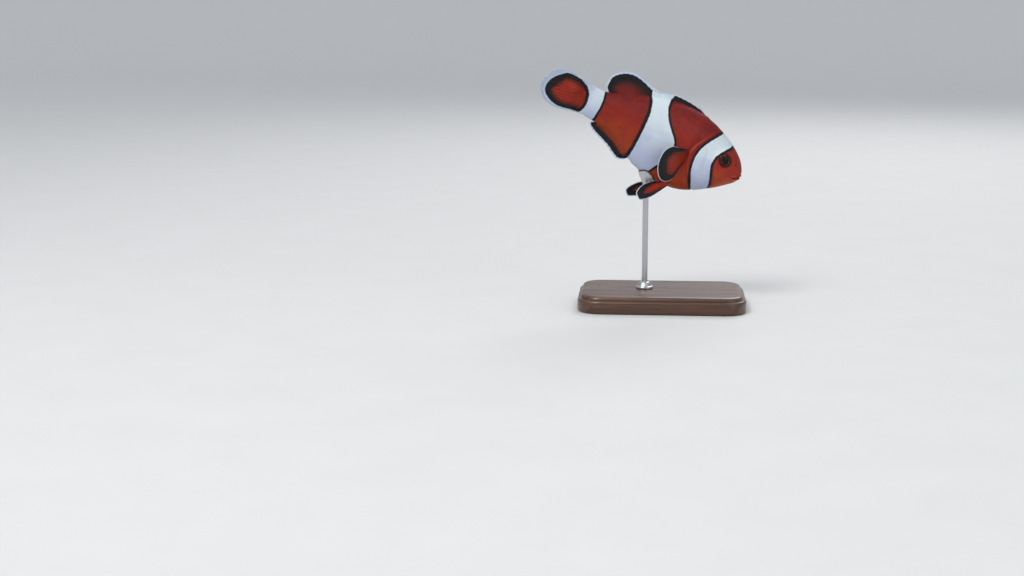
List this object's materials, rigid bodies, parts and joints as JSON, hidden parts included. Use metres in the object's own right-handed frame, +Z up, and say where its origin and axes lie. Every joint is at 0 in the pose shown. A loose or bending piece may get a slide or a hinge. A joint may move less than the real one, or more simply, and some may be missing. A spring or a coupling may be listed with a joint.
{
  "type": "clownfish display model",
  "caption": "Still, life-size clownfish, orange with white bars and dark fin margins, swimming nose down in a gentle bend on a rod and a flat wooden base.",
  "frame": {"origin": "middle of the underside of the stand's base", "axes": "+Z up out of the base, +X along the base towards the fish's head, -Y towards the side that shows the fish's right flank"},
  "size_m": [0.0708, 0.0388, 0.0832],
  "materials": {
    "skin": "satin",
    "fin": "satin",
    "eye": "gloss",
    "stand_wood": "satin",
    "stand_steel": "satin"
  },
  "bodies": {
    "root": {"head": "skin", "lower_jaw": "skin", "gill_cover_L": "skin", "gill_cover_R": "skin", "eye_L": "eye", "eye_R": "eye", "trunk": "skin", "tail_stem": "skin", "fin_dorsal_spiny": "fin", "fin_dorsal_soft": "fin", "fin_anal": "fin", "fin_tail": "fin", "fin_pectoral_L": "fin", "fin_pectoral_R": "fin", "fin_pelvic_L": "fin", "fin_pelvic_R": "fin", "stand_base": "stand_wood", "stand_collar": "stand_steel", "stand_rod": "stand_steel"}
  },
  "joints": []
}
